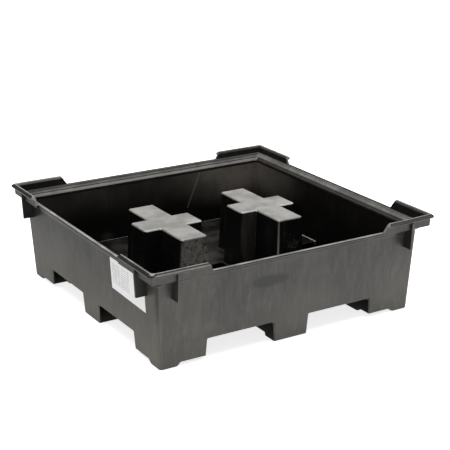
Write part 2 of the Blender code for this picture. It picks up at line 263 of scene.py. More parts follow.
def bevelled(obj, width, segments, angle=30, clamp=True):
    modifier = obj.modifiers.new("round", "BEVEL")
    modifier.width = width
    modifier.segments = segments
    modifier.angle_limit = math.radians(angle)
    modifier.use_clamp_overlap = clamp
    return applied(obj)


def bisect(bm, place, normal, clear=False):
    """Adds edges where a plane crosses the mesh, and can clear what lies beyond it."""
    geometry = list(bm.verts) + list(bm.edges) + list(bm.faces)
    return bmesh.ops.bisect_plane(bm, geom=geometry, plane_co=place, plane_no=normal, clear_outer=clear)


def prism(outline_low, outline_high, z_low, z_high):
    return to_object("solid", loft([at(outline_low, z_low), at(outline_high, z_high)]))


def wall_half(z):
    return WALL_HALF + WALL_LEAN * z


# ---------------------------------------------------------------- tub
def channel(mid_half, extra, z_low, z_high, along_x, side):
    """A fork channel between two rows of feet, as a prism running right through."""
    outlines = []
    span = (-CHANNEL_REACH, CHANNEL_REACH)
    for z in (z_low, z_high):
        inner = mid_half + FOOT_LEAN * z - extra
        outer = CORNER_FOOT_EDGE - FOOT_LEAN * z + extra
        a, b = sorted((side * inner, side * outer))
        outlines.append(rectangle(*span, a, b) if along_x else rectangle(a, b, *span))
    return prism(*outlines, z_low, z_high)


def channels(extra, z_low, z_high):
    """The four fork channels, each side moved outwards by extra."""
    whole = None
    for along_x, mid_half in ((True, MID_Y), (False, MID_X)):
        for side in (-1, 1):
            one = channel(mid_half, extra, z_low, z_high, along_x, side)
            whole = one if whole is None else combine(whole, one, "UNION")
    return whole


def pillar_grow(z):
    return PILLAR_LEAN * (LEDGE_TOP - z)


def notch(low, high):
    """A cutter between two rectangles, one just under the ground and one at the notch's roof."""
    return prism(rectangle(*low), rectangle(*high), -SINK, NOTCH_HIGH)


def notches():
    """Cutters for the shallow notches under the feet."""
    cutters = []
    ends = ((NOTCH_TOE + NOTCH_SLOPE + SINK, NOTCH_DEEP - NOTCH_SLOPE), (NOTCH_TOE, NOTCH_DEEP))
    for sx in (-1, 1):
        for sy in (-1, 1):
            for swap in (False, True):
                plans = []
                for toe, back in ends:
                    spans = [(NOTCH_START, toe), (back, NOTCH_END)]
                    along, across = reversed(spans) if swap else spans
                    plans.append((*sorted(sx * x for x in along), *sorted(sy * y for y in across)))
                cutters.append(notch(*plans))
    for side in (-1, 1):
        mid, flank = [], []
        for slope in (PAD_SLOPE, 0.0):
            ys = sorted((side * PAD_START, side * (MID_PAD_END + slope)))
            xs = sorted((side * PAD_START, side * (SIDE_PAD_END + slope)))
            mid.append((-PAD_HALF_X, PAD_HALF_X, *ys))
            flank.append((*xs, -PAD_HALF_Y, PAD_HALF_Y))
        cutters += [notch(*mid), notch(*flank)]
    return cutters


def sharp_body():
    """The moulding below the rim, before its edges are rounded."""
    levels = (0.0, BODY_TOP)
    whole = prism(*[square(wall_half(z), OUTER_CORNER) for z in levels], *levels)
    combine(whole, channels(0.0, -CHANNEL_SINK, POCKET_TOP), "DIFFERENCE")
    for cutter in notches():
        combine(whole, cutter, "DIFFERENCE")
    levels = (WELL_FLOOR, BODY_TOP + OVERSHOOT)
    void = prism(*[square(wall_half(z) - WALL_SKIN, INNER_CORNER) for z in levels], *levels)
    combine(void, channels(FOOT_SKIN, 0.0, FLOOR_TOP), "DIFFERENCE")
    for x in (-PILLAR_X, PILLAR_X):
        pillar = prism(cross(x, pillar_grow(PILLAR_BASE)), cross(x, 0.0), PILLAR_BASE, LEDGE_TOP)
        combine(void, pillar, "DIFFERENCE")
    combine(whole, void, "DIFFERENCE")
    for x in (-PILLAR_X, PILLAR_X):
        levels = (HOLLOW_BASE, HOLLOW_TOP)
        hollow = prism(*[cross(x, pillar_grow(z) - PILLAR_SKIN) for z in levels], *levels)
        combine(whole, hollow, "DIFFERENCE")
    return whole


# ---------------------------------------------------------------- rounding
BEVEL = 0.012               # width of the bevel at full weight; each edge has its share of it
NEAR = 0.001                # an edge this close to a height lies at it
SURFACE = 0.004             # what lies this close to the walls' outer planes is on the outside
PILLAR_ROOM = 0.03          # what lies this close around a pillar's arms belongs to it
BESIDE_WELL = 0.115         # middle of a pillar to the end of its arm, which stands close to a well
WALL_FOOT = 0.54            # middle of the sump to where the rounded foot of the walls begins
CORNER_ZONE = 0.55          # the walls' own corners, further out than this, are round already
MIDDLE_WELL = (0.5, 0.1)    # how far out along X and along Y the middle row's wells reach
ROUNDING = {
    "pillar top": 0.006,
    "pillar corner": 0.010,
    "pillar foot": 0.010,
    "pillar foot by a well": 0.0035,
    "hollow": 0.003,
    "outer upright": 0.008,
    "pocket roof, outside": 0.004,
    "sole": 0.005,
    "notch": 0.003,
    "foot of the walls": 0.010,
    "mouth of a middle well": 0.0045,
    "mouth of a well": 0.008,
    "pocket roof": 0.007,
    "well corner": 0.008,
    "well floor": 0.007,
}


def by_pillar(x, y):
    return abs(abs(x) - PILLAR_X) < PILLAR_SHORT + PILLAR_ROOM and abs(y) < PILLAR_LONG + PILLAR_ROOM


def pillar_edge(x, z, upright):
    """What kind of edge of a pillar or its hollow this is, or None for one that stays sharp."""
    if z > LEDGE_TOP - NEAR:
        return "pillar top"
    if abs(z - HOLLOW_TOP) < NEAR:
        return "hollow"
    if abs(z - FLOOR_TOP) < NEAR:
        return "pillar foot by a well" if abs(abs(x) - PILLAR_X) > BESIDE_WELL else "pillar foot"
    if z > FLOOR_TOP:
        return "pillar corner" if upright else None
    return "hollow" if abs(z - POCKET_TOP) < 2 * NEAR else None


def outer_edge(x, y, z, rise):
    """The same for the outside of the walls and feet."""
    if rise > 0.3:
        return None if min(abs(x), abs(y)) > CORNER_ZONE else "outer upright"
    if z > HOLLOW_BASE:
        return "pocket roof, outside"
    return "sole" if z < 2 * NEAR else "notch"


def inner_edge(far, y, z, upright):
    """The same for the inside of the sump and of the fork channels."""
    if abs(z - FLOOR_TOP) < NEAR:
        if far > WALL_FOOT:
            return "foot of the walls"
        in_middle = far < MIDDLE_WELL[0] and abs(y) < MIDDLE_WELL[1]
        return "mouth of a middle well" if in_middle else "mouth of a well"
    if abs(z - POCKET_TOP) < NEAR:
        return "pocket roof"
    if z < 2 * NEAR:
        return "sole"
    if upright and far < WALL_CUT:
        return "well corner"
    if abs(z - WELL_FLOOR) < 2 * NEAR:
        return "well floor"
    return "notch" if z < NOTCH_HIGH + 3 * NEAR else None


def edge_radius(a, b):
    """How far an edge of the tub is rounded, from where it lies."""
    x, y, z = (a + b) / 2
    rise = abs((b - a).normalized().z)
    upright = rise > 0.7
    far = max(abs(x), abs(y))
    if far > WALL_ZONE and z > WALL_TOP + NEAR:
        kind = None
    elif by_pillar(x, y) and z > HOLLOW_BASE:
        kind = pillar_edge(x, z, upright)
    elif far > wall_half(z) - SURFACE:
        kind = outer_edge(x, y, z, rise)
    else:
        kind = inner_edge(far, y, z, upright)
    return ROUNDING[kind] if kind else 0.0


def round_edges(obj):
    """Bevels each edge of the tub by its own radius."""
    bm = bmesh.new()
    bm.from_mesh(obj.data)
    bmesh.ops.remove_doubles(bm, verts=bm.verts, dist=1e-5)
    bmesh.ops.dissolve_limit(bm, angle_limit=math.radians(0.5), verts=bm.verts, edges=bm.edges)
    weights = bm.edges.layers.float.new("bevel_weight_edge")
    for edge in bm.edges:
        if len(edge.link_faces) == 2 and edge.calc_face_angle(0) > math.radians(25):
            edge[weights] = edge_radius(*[v.co for v in edge.verts]) / BEVEL
    bm.to_mesh(obj.data)
    bm.free()
    modifier = obj.modifiers.new("round", "BEVEL")
    modifier.limit_method = "WEIGHT"
    modifier.width = BEVEL
    modifier.segments = 4
    modifier.use_clamp_overlap = False
    applied(obj)


# ---------------------------------------------------------------- pieces
def soften(obj):
    """Gives smooth faces whose flats stay flat."""
    obj.data.shade_smooth()
    modifier = obj.modifiers.new("normals", "WEIGHTED_NORMAL")
    modifier.keep_sharp = False
    modifier.weight = 60
    return applied(obj)


def divide(obj, name_of):
    """Splits a mesh into named objects by polygon, keeping its shading across the cuts."""
    mesh = obj.data
    groups = {}
    for polygon in mesh.polygons:
        name = name_of(polygon.center)
        if name:
            groups.setdefault(name, []).append(polygon)
    made = {}
    for name, polygons in groups.items():
        index = {}
        faces = []
        normals = []
        for polygon in polygons:
            faces.append([index.setdefault(v, len(index)) for v in polygon.vertices])
            normals += [mesh.corner_normals[i].vector[:] for i in polygon.loop_indices]
        part = bpy.data.meshes.new(name)
        part.from_pydata([mesh.vertices[v].co[:] for v in index], [], faces)
        part.shade_smooth()
        part.normals_split_custom_set(normals)
        made[name] = bpy.data.objects.new(name, part)
        bpy.context.scene.collection.objects.link(made[name])
    bpy.data.objects.remove(obj, do_unlink=True)
    return made


def cut_along(obj, planes, chosen=None):
    """Adds edges where the planes cross the mesh."""
    bm = bmesh.new()
    bm.from_mesh(obj.data)
    for point, normal in planes:
        faces = [f for f in bm.faces if chosen is None or chosen(f.calc_center_median())]
        edges = {e for f in faces for e in f.edges}
        verts = {v for e in edges for v in e.verts}
        bmesh.ops.bisect_plane(
            bm, geom=list(verts) + list(edges) + faces, dist=2e-5,
            plane_co=point, plane_no=normal)
    bm.to_mesh(obj.data)
    bm.free()


def side_of(x, y):
    if abs(y) >= abs(x):
        return "front" if y < 0 else "back"
    return "left" if x < 0 else "right"


def foot_of(x, y):
    column = "left" if x < -FOOT_SPLIT else "right" if x > FOOT_SPLIT else "middle"
    row = "front" if y < -FOOT_SPLIT else "back" if y > FOOT_SPLIT else "middle"
    return "centre" if row == column == "middle" else f"{row}_{column}"


def region_of(centre):
    """The piece that a face of the tub belongs to, or None for what the rim replaces."""
    x, y, z = centre
    far = max(abs(x), abs(y))
    if far > WALL_ZONE and z > WALL_TOP:
        return None
    if z < FOOT_CUT:
        return "moulded_foot_" + foot_of(x, y)
    if far > WALL_CUT:
        return "moulded_wall_" + side_of(x, y)
    if z > FLOOR_TOP + 0.0002 and by_pillar(x, y):
        return "moulded_pillar_" + ("left" if x < 0 else "right")
    return "moulded_floor"


def body_pieces():
    """The floor, feet, walls and pillars."""
    body = sharp_body()
    round_edges(body)
    planes = [((0, 0, FOOT_CUT), (0, 0, 1))]
    for sign in (-1, 1):
        planes.append(((sign * WALL_CUT, 0, 0), (1, 0, 0)))
        planes.append(((0, sign * WALL_CUT, 0), (0, 1, 0)))
    cut_along(body, planes)
    top = [((0, 0, WALL_TOP), (0, 0, 1))]
    cut_along(body, top + DIAGONALS, lambda c: max(abs(c.x), abs(c.y)) > WALL_ZONE)
    soften(body)
    made = divide(body, region_of)
    for name, obj in made.items():
        node = name.replace("moulded_", "")
        node = "sump_floor" if node == "floor" else node
        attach(obj, "root")
        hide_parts(node)
    return made


def rim_plan(half, radius):
    """The rim's outline at a distance from the centre; its upper part is set in on the left."""
    inset = LEFT_RIM_INSET * min(max((half - INSET_FROM) / INSET_RUN, 0.0), 1.0)
    return rectangle(inset - half, half, -half, half, radius, 8)


def rim_pieces():
    """The four rims, one section of (half size, height, corner radius) carried round the sump."""
    outside = [
        (0.5759, 0.3250, 0.014),
        (0.5762, 0.3300, 0.014),
        (0.5768, 0.3318, 0.015),
        (0.5780, 0.3330, 0.016),
        (0.5985, 0.3480, 0.022),
        (0.5998, 0.3495, 0.022),
        (0.6003, 0.3515, 0.020),
        (0.6015, 0.3527, 0.016),
        (0.6035, 0.3532, 0.014),
        (0.6082, 0.3534, 0.010),
        (0.6100, 0.3545, 0.010),
        (0.6110, 0.3565, 0.010),
        (0.6110, 0.3585, 0.010),
        (0.6102, 0.3602, 0.010),
        (0.6085, 0.3610, 0.010),
    ]
    inside = [
        (0.5965, 0.3610, 0.012),
        (0.5948, 0.3604, 0.012),
        (0.5938, 0.3590, 0.012),
        (0.5932, 0.3570, 0.012),
        (0.5915, 0.3522, 0.012),
        (0.5868, 0.3465, 0.012),
        (0.5845, 0.3436, 0.012),
        (0.5822, 0.3408, 0.012),
        (0.5808, 0.3393, 0.012),
        (0.5790, 0.3382, 0.012),
        (0.5770, 0.3380, 0.012),
        (0.5722, 0.3380, 0.013),
        (0.5698, 0.3373, 0.013),
        (0.5684, 0.3357, 0.014),
        (0.5679, 0.3335, 0.014),
        (0.5679, 0.3250, 0.014),
    ]
    loops = [at(rim_plan(half, radius), z) for half, z, radius in outside + inside]
    obj = to_object("rim", loft(loops, ring=True))
    cut_along(obj, DIAGONALS)
    soften(obj)
    made = divide(obj, lambda c: "moulded_rim_" + side_of(c.x, c.y))
    for name, piece in made.items():
        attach(piece, "root")
        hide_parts(name.replace("moulded_", ""))
    return made


def ear_lift(corner, x):
    """How much higher or lower an ear's lip stands than the common section; one is warped."""
    if corner == "front_right":
        return WARP * min(max((x - WARP_FROM) / WARP_RUN, 0.0), 1.0)
    return LIFT[corner]


def ear_end_cutter(sx, sy, axis, start):
    """Takes an ear's arm away from the middle of the wall up to its sloping end."""
    corners = [(start + past, z) for past, z in EAR_END]
    corners = [(0.0, corners[0][1])] + corners + [(0.0, corners[-1][1])]
    outline = rounded(corners, [0, 0, EAR_END_ROUND, 0, 0, 0], 4)
    if axis == X:
        loops = [[(sx * t, sy * out, z) for t, z in outline] for out in EAR_CUT]
    else:
        loops = [[(sx * out, sy * t, z) for t, z in outline] for out in EAR_CUT]
    return to_object("cutter", loft(loops))


def ear_pieces():
    """The corner ears, one section of (half size, height, corner radius) shaped for each corner.

    Each arm starts where that of the CAD ear does.
    """
    section = [
        (0.5975, 0.3560, 0.010),
        (0.5990, 0.3600, 0.010),
        (0.6008, 0.3625, 0.009),
        (0.6032, 0.3810, 0.009),
        (0.6040, 0.3860, 0.009),
        (0.6052, 0.3912, 0.010),
        (0.6068, 0.3944, 0.014),
        (0.6088, 0.3960, 0.018),
        (0.6112, 0.3966, 0.021),
        (0.6150, 0.3963, 0.024),
        (0.6186, 0.3942, 0.027),
        (0.6216, 0.3920, 0.029),
        (0.6240, 0.3900, 0.030),
        (0.6251, 0.3880, 0.030),
        (0.6255, 0.3862, 0.030),
        (0.6253, 0.3846, 0.030),
        (0.6244, 0.3826, 0.028),
        (0.6225, 0.3816, 0.025),
        (0.6160, 0.3808, 0.012),
        (0.6134, 0.3796, 0.006),
        (0.6125, 0.3770, 0.004),
        (0.6118, 0.3555, 0.004),
        (0.6111, 0.3530, 0.004),
        (0.6092, 0.3518, 0.004),
        (0.6030, 0.3522, 0.006),
        (0.5995, 0.3535, 0.008),
    ]
    made = {}
    for corner, (sx, sy) in CORNERS.items():
        blunt = EAR_BLUNT.get(corner, COMMON_BLUNT)
        loops = [at(square(half, max(radius * blunt, LEAST_RADIUS), 8), z) for half, z, radius in section]
        bm = loft(loops, ring=True)
        axes = (Vector((sx, 0, 0)), Vector((0, sy, 0)))
        for place in EAR_EDGES:
            for axis in axes:
                bisect(bm, axis * place, axis)
        for vert in bm.verts:
            if vert.co.z > LIFT_FROM:
                vert.co.z += ear_lift(corner, vert.co.x)
        for axis in axes:
            found = bisect(bm, axis * EAR_START, -axis, clear=True)
            edges = [e for e in found["geom_cut"] if isinstance(e, bmesh.types.BMEdge)]
            bmesh.ops.holes_fill(bm, edges=edges, sides=0)
        obj = to_object("moulded_ear_" + corner, bm)
        node = "corner_ear_" + corner
        for axis in (X, Y):
            start = min(abs(start_of(node, axis)), abs(end_of(node, axis)))
            combine(obj, ear_end_cutter(sx, sy, axis, start), "DIFFERENCE")
        bevelled(obj, 0.0012, 2, angle=60, clamp=False)
        soften(obj)
        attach(obj, "root")
        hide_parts(node)
        made[obj.name] = obj
    return made


def gusset_pieces():
    """The upright fins that carry the ears, flat plates between the wall and the lip.

    The section is (distance from the middle of the sump, height); its place and width are the CAD fin's.
    """
    made = {}
    section = [
        (wall_half(GUSSET_BASE) - 0.004, GUSSET_BASE),
        (0.6185, GUSSET_BASE),
        (0.6240, GUSSET_TOP),
        (0.6085, GUSSET_TOP),
        (0.6085, 0.3550),
        (0.5975, 0.3505),
        (0.5750, 0.3345),
        (0.5740, 0.3290),
    ]
    for sx, sy in CORNERS.values():
        side_x = "left" if sx < 0 else "right"
        side_y = "front" if sy < 0 else "back"
        for side, near in ((side_y, side_x), (side_x, side_y)):
            node = f"gusset_{side}_wall_{near}"
            axis = X if side == side_y else Y
            loops = []
            for place in sorted((start_of(node, axis), end_of(node, axis)), key=abs):
                if axis == X:
                    loops.append([(place, sy * out, z) for out, z in section])
                else:
                    loops.append([(sx * out, place, z) for out, z in section])
            obj = to_object("moulded_" + node, loft(loops))
            bevelled(obj, 0.0018, 3)
            soften(obj)
            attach(obj, "root")
            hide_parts(node)
            made[obj.name] = obj
    return made


def label_piece():
    """The adhesive label, with slightly rounded corners, lying on the leaning left wall."""
    corners = [(LABEL_FRONT_Y, LABEL_FRONT_BASE), (LABEL_BACK_Y, LABEL_BACK_BASE),
               (LABEL_BACK_Y, LABEL_TOP), (LABEL_FRONT_Y, LABEL_TOP)]
    outline = rounded(corners, [LABEL_ROUND] * 4, 4)
    loops = [[(-wall_half(z) - out, y, z) for y, z in outline] for out in LABEL_FACES]
    obj = to_object("adhesive_label", loft(loops))
    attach(obj, "root")
    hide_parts("wall_label")
    return obj


moulded = body_pieces()
moulded.update(rim_pieces())
moulded.update(ear_pieces())
moulded.update(gusset_pieces())
label = label_piece()


# ---------------------------------------------------------------- materials
class Shader:
    """Builds a procedural Principled material from short calls."""

    def __init__(self, name, colour, roughness, specular=0.5):
        self.material = bpy.data.materials.new(name)
        self.material.use_nodes = True
        self.nodes = self.material.node_tree.nodes
        self.links = self.material.node_tree.links
        self.surface = self.nodes["Principled BSDF"]
        self.surface.inputs["Base Color"].default_value = (*colour, 1)
        self.surface.inputs["Roughness"].default_value = roughness
        self.surface.inputs["Specular IOR Level"].default_value = specular
        self.place = self.nodes.new("ShaderNodeNewGeometry").outputs["Position"]

    def feed(self, value, socket):
        if isinstance(value, bpy.types.NodeSocket):
            self.links.new(value, socket)
        elif isinstance(value, (tuple, list)) and len(value) == 3 and socket.type == "RGBA":
            socket.default_value = (*value, 1)
        else:
            socket.default_value = value

    def scaled(self, scale, turn=(0, 0, 0)):
        """Places for a texture, stretched along the axes and turned by degrees."""
        node = self.nodes.new("ShaderNodeMapping")
        node.inputs["Scale"].default_value = scale
        node.inputs["Rotation"].default_value = [math.radians(a) for a in turn]
        self.links.new(self.place, node.inputs["Vector"])
        return node.outputs["Vector"]

    def noise(self, scale, detail=4.0, vector=None, rough=0.5, distortion=0.0):
        node = self.nodes.new("ShaderNodeTexNoise")
        node.inputs["Scale"].default_value = scale
        node.inputs["Detail"].default_value = detail
        node.inputs["Roughness"].default_value = rough
        node.inputs["Distortion"].default_value = distortion
        self.links.new(self.place if vector is None else vector, node.inputs["Vector"])
        return node.outputs["Fac"]

    def ramp(self, value, low, high, to_low=0.0, to_high=1.0):
        """Goes smoothly from one value to another as the input goes from low to high."""
        node = self.nodes.new("ShaderNodeMapRange")
        node.interpolation_type = "SMOOTHSTEP"
        for key, number in (("From Min", low), ("From Max", high), ("To Min", to_low), ("To Max", to_high)):
            node.inputs[key].default_value = number
        self.links.new(value, node.inputs["Value"])
        return node.outputs["Result"]

    def math(self, operation, a, b=0.0):
        node = self.nodes.new("ShaderNodeMath")
        node.operation = operation
        self.feed(a, node.inputs[0])
        self.feed(b, node.inputs[1])
        return node.outputs["Value"]

    def times(self, *values):
        result = values[0]
        for value in values[1:]:
            result = self.math("MULTIPLY", result, value)
        return result

    def plus(self, *values):
        result = values[0]
        for value in values[1:]:
            result = self.math("ADD", result, value)
        return result

    def axis(self, which):
        node = self.nodes.new("ShaderNodeSeparateXYZ")
        self.links.new(self.place, node.inputs["Vector"])
        return node.outputs[which]

    def vector(self, operation, a, b, output="Vector"):
        node = self.nodes.new("ShaderNodeVectorMath")
        node.operation = operation
        self.feed(a, node.inputs[0])
        self.feed(b, node.inputs["Scale"] if operation == "SCALE" else node.inputs[1])
        return node.outputs[output]

    def spot(self, centre, size, blur=1.0):
        """1 at the centre of a soft ellipsoid, 0 outside it."""
        away = self.vector("DIVIDE", self.vector("SUBTRACT", self.place, centre), size)
        return self.ramp(self.vector("LENGTH", away, (0, 0, 0), "Value"), 1.0, 1.0 - blur)

    def stroke(self, start, end, width, soft=0.6):
        """1 along a straight line between two points, 0 away from it."""
        a, b = Vector(start), Vector(end)
        away = self.vector("SUBTRACT", self.place, a)
        share = self.nodes.new("ShaderNodeClamp")
        covered = self.vector("DOT_PRODUCT", away, (b - a) / (b - a).length_squared, "Value")
        self.feed(covered, share.inputs["Value"])
        along = self.vector("SCALE", b - a, share.outputs["Result"])
        return self.ramp(self.vector("DISTANCE", away, along, "Value"), width, width * (1 - soft))

    def mix(self, share, a, b):
        """Colour a where share is 0, colour b where it is 1."""
        node = self.nodes.new("ShaderNodeMix")
        node.data_type = "RGBA"
        self.feed(share, node.inputs["Factor"])
        self.feed(a, node.inputs["A"])
        self.feed(b, node.inputs["B"])
        return node.outputs["Result"]

    def colour(self, value):
        self.feed(value, self.surface.inputs["Base Color"])

    def roughness(self, value):
        self.feed(value, self.surface.inputs["Roughness"])

    def bump(self, height, strength, distance):
        node = self.nodes.new("ShaderNodeBump")
        node.inputs["Strength"].default_value = strength
        node.inputs["Distance"].default_value = distance
        self.links.new(height, node.inputs["Height"])
        self.links.new(node.outputs["Normal"], self.surface.inputs["Normal"])


def outer_plastic(name="outer_plastic", shade=1.0, specular=0.34):
    """Dusty, scuffed outer walls: smudges and faint uneven streaks; lighter towards the ground, painted
    light from the floor; the left wall darker high up, painted shade, and lighter towards its front. A
    shade below 1 makes a darker copy, painted shade.
    """
    s = Shader(name, (0.05, 0.048, 0.043), 0.42, specular)
    waver = s.noise(1.0, 5, s.scaled((38, 38, 9), (3, -3, 0)), 0.62, 0.9)
    streaks = s.noise(1.0, 4, s.scaled((120, 120, 13), (-4, 5, 0)), 0.6, 0.5)
    grain = s.noise(520, 3)
    clouds = s.noise(5.5, 4)
    smears = s.noise(1.0, 5, s.scaled((26, 26, 10), (16, -12, 0)), 0.68, 0.5)
    low = s.ramp(s.axis("Z"), 0.33, 0.0)
    left = s.ramp(s.axis("X"), -0.545, -0.565)
    near = s.ramp(s.axis("Y"), 0.45, -0.6)
    smudge = s.spot((-0.098, -0.575, 0.258), (0.115, 0.05, 0.032), 0.9)
    # painted light and shade: every wall lighter towards the ground, the left one most, and the left wall
    # darker overall
    dust = s.plus(
        s.ramp(waver, 0.40, 0.70, 0.0, 0.15),
        s.ramp(streaks, 0.45, 0.75, 0.0, 0.24),
        s.ramp(grain, 0.40, 0.75, 0.0, 0.06),
        s.ramp(clouds, 0.38, 0.68, 0.0, 0.26),
        s.ramp(smears, 0.40, 0.74, 0.0, 0.26),
        s.times(low, s.ramp(left, 0.0, 1.0, 0.34, 1.25)),
        s.times(left, near, 0.36),
        s.times(smudge, -0.60),
        s.ramp(left, 0.0, 1.0, 0.08, -0.28))
    dust = s.times(dust, 0.66 * shade)
    s.colour(s.mix(dust, (0.014, 0.0133, 0.0118), (0.125, 0.119, 0.105)))
    s.roughness(s.ramp(dust, 0.0, 1.0, 0.36, 0.58))
    s.bump(s.plus(s.times(smears, 0.5), grain), 0.12, 0.0004)
    return s.material


def inner_plastic():
    """Darker plastic inside the sump, painted shade, with some dust, a mould line and a few scratches,
    painted light high by the back right corner and a painted highlight at the mould line's foot.
    """
    s = Shader("inner_plastic", (0.02, 0.019, 0.018), 0.36, 0.14)
    grain = s.noise(260, 3)
    clouds = s.noise(7, 4)
    streaks = s.noise(1.0, 4, s.scaled((60, 60, 5)), 0.6)
    high = s.ramp(s.axis("Z"), 0.17, 0.31)
    behind = s.ramp(s.axis("Y"), 0.50, 0.55)
    # painted light: a pool of it high by the back right corner, and a highlight where the mould line meets
    # the floor
    corner = s.times(s.spot((0.47, 0.60, 0.30), (0.42, 0.5, 0.18)), s.ramp(clouds, 0.25, 0.6, 0.5, 1.0))
    blob_highlight = s.spot((-0.215, 0.555, 0.105), (0.045, 0.05, 0.03))
    line = s.stroke((-0.213, 0.565, 0.30), (-0.213, 0.556, 0.11), 0.003)
    scratch = s.stroke((0.263, 0.567, 0.327), (0.191, 0.561, 0.170), 0.0045)
    dust = s.plus(
        s.times(corner, s.ramp(grain, 0.3, 0.7, 0.75, 1.2)),
        s.times(blob_highlight, 0.16), s.times(line, high, 0.16), s.times(scratch, 0.50),
        s.times(high, behind, s.ramp(clouds, 0.30, 0.75, 0.09, 0.20)),
        s.times(high, s.ramp(streaks, 0.35, 0.8, 0.02, 0.05)), s.ramp(clouds, 0.5, 0.8, 0.0, 0.03))
    s.colour(s.mix(dust, (0.0065, 0.0060, 0.0055), (0.21, 0.190, 0.165)))
    s.roughness(s.ramp(clouds, 0.3, 0.7, 0.30, 0.44))
    s.bump(grain, 0.10, 0.0004)
    return s.material


def deck_plastic():
    """The sump floor and its wells, with a thin layer of dust."""
    s = Shader("deck_plastic", (0.03, 0.029, 0.027), 0.34, 0.14)
    clouds = s.noise(9, 5)
    grain = s.noise(240, 3)
    dust = s.plus(s.ramp(clouds, 0.4, 0.75, 0.0, 0.35), s.ramp(grain, 0.5, 0.8, 0.0, 0.12))
    s.colour(s.mix(dust, (0.0055, 0.0052, 0.0048), (0.085, 0.079, 0.068)))
    s.roughness(s.ramp(clouds, 0.3, 0.7, 0.28, 0.46))
    s.bump(grain, 0.10, 0.0004)
    return s.material


def under_plastic():
    """The sides of the feet inside the fork channels, very dark as painted shade, and darker still towards
    the channels' roof.
    """
    s = Shader("under_plastic", (0.01, 0.0095, 0.009), 0.5, 0.02)
    dust = s.plus(s.ramp(s.axis("Z"), 0.060, 0.0, 0.0, 0.8), s.ramp(s.noise(30, 4), 0.4, 0.8, 0.0, 0.2))
    s.colour(s.mix(dust, (0.0012, 0.0012, 0.0011), (0.020, 0.019, 0.017)))
    s.bump(s.noise(400, 3), 0.12, 0.0004)
    return s.material


def top_plastic(name, darker_tone, paler_tone, specular=0.5):
    """Upward faces in patches of a darker and a paler tone: scuffed lighter by the grate and by handling on
    the pillar tops, while the other copies are painted highlights, middle tones and painted shade.
    """
    s = Shader(name, darker_tone, 0.40, specular)
    clouds = s.noise(16, 4)
    grain = s.noise(330, 3)
    rubs = s.noise(1.0, 4, s.scaled((30, 160, 30), (0, 0, 20)), 0.6)
    paler_share = s.plus(
        s.ramp(clouds, 0.35, 0.7, 0.0, 0.5),
        s.ramp(rubs, 0.5, 0.75, 0.0, 0.35),
        s.ramp(grain, 0.4, 0.8, 0.0, 0.2))
    s.colour(s.mix(paler_share, darker_tone, paler_tone))
    s.roughness(s.ramp(clouds, 0.3, 0.7, 0.36, 0.50))
    s.bump(s.plus(s.times(clouds, 0.6), grain), 0.12, 0.0004)
    return s.material


def pillar_plastic():
    """Pillar sides: dark and glossy, darker than the outer plastic as painted shade, with a dusty scuffed
    end on the left pillar and painted highlights down one corner and in one crease of the right pillar.
    """
    s = Shader("pillar_plastic", (0.02, 0.019, 0.018), 0.30, 0.28)
    clouds = s.noise(12, 4)
    flow = s.noise(1.0, 3, s.scaled((28, 28, 6), (4, 3, 0)), 0.5, 0.4)
    grain = s.noise(200, 3)
    scuff = s.noise(1.0, 5, s.scaled((55, 55, 40), (20, 30, 10)), 0.65, 1.5)
    left_end = s.spot((-0.2205, -0.235, 0.21), (0.09, 0.035, 0.22), 0.35)
    right_end = s.spot((0.2205, -0.235, 0.23), (0.07, 0.035, 0.09), 0.8)
    arm = s.spot((0.125, -0.063, 0.24), (0.048, 0.012, 0.19), 0.35)
    # painted highlights: down the right pillar's front left corner, and in the crease before its left arm;
    # and lighter down the left pillar's front left corner
    corner = s.stroke((0.1625, -0.2247, 0.336), (0.158, -0.2292, 0.19), 0.0085)
    crease_highlight = s.stroke((0.1628, -0.0608, 0.334), (0.1620, -0.0616, 0.295), 0.0045)
    left_corner_strip = s.stroke((-0.2775, -0.2245, 0.32), (-0.2815, -0.229, 0.24), 0.011, 0.9)
    dust = s.plus(
        s.times(arm, s.ramp(flow, 0.3, 0.7, 0.08, 0.18)),
        s.times(left_corner_strip, 0.5),
        s.times(left_end, s.ramp(scuff, 0.35, 0.65, 0.25, 1.35)),
        s.times(right_end, s.ramp(scuff, 0.52, 0.72, 0.0, 0.5)),
        s.ramp(flow, 0.5, 0.8, 0.0, 0.05))
    base = s.mix(dust, (0.0075, 0.0072, 0.0068), (0.27, 0.257, 0.235))
    # the pale colour of the painted highlights
    s.colour(s.mix(s.math("MAXIMUM", corner, s.times(crease_highlight, 0.8)), base, (0.50, 0.49, 0.46)))
    s.roughness(s.plus(s.ramp(clouds, 0.3, 0.7, 0.24, 0.36), s.times(dust, 0.2)))
    s.bump(s.plus(s.times(scuff, 0.8), s.times(grain, 0.3)), 0.14, 0.0012)
    return s.material


def label_film():
    """White adhesive label with generic grey blocks where text would be."""
    s = Shader("label_film", (0.60, 0.605, 0.605), 0.5)
    y, z = s.axis("Y"), s.axis("Z")
    lines = s.ramp(s.math("SINE", s.times(z, 2 * math.pi / 0.0085)), -0.2, 0.5)
    words = s.ramp(s.noise(1.0, 1, s.scaled((0, 190, 25))), 0.37, 0.46)
    column = s.plus(
        s.times(s.ramp(y, -0.291, -0.289), s.ramp(y, -0.226, -0.228)),
        s.times(s.ramp(y, -0.364, -0.362), s.ramp(y, -0.296, -0.298)))
    block = s.times(s.ramp(z, 0.230, 0.232), s.ramp(z, 0.313, 0.311))
    smudge = s.ramp(s.noise(22, 4, distortion=0.5), 0.45, 0.8, 0.0, 0.13)
    ink = s.times(lines, words, column, block, 0.6)
    s.colour(s.mix(s.plus(ink, smudge), (0.60, 0.605, 0.600), (0.16, 0.16, 0.16)))
    s.roughness(s.ramp(s.noise(60, 3), 0.3, 0.7, 0.42, 0.58))
    s.bump(s.noise(90, 2), 0.05, 0.0003)
    return s.material


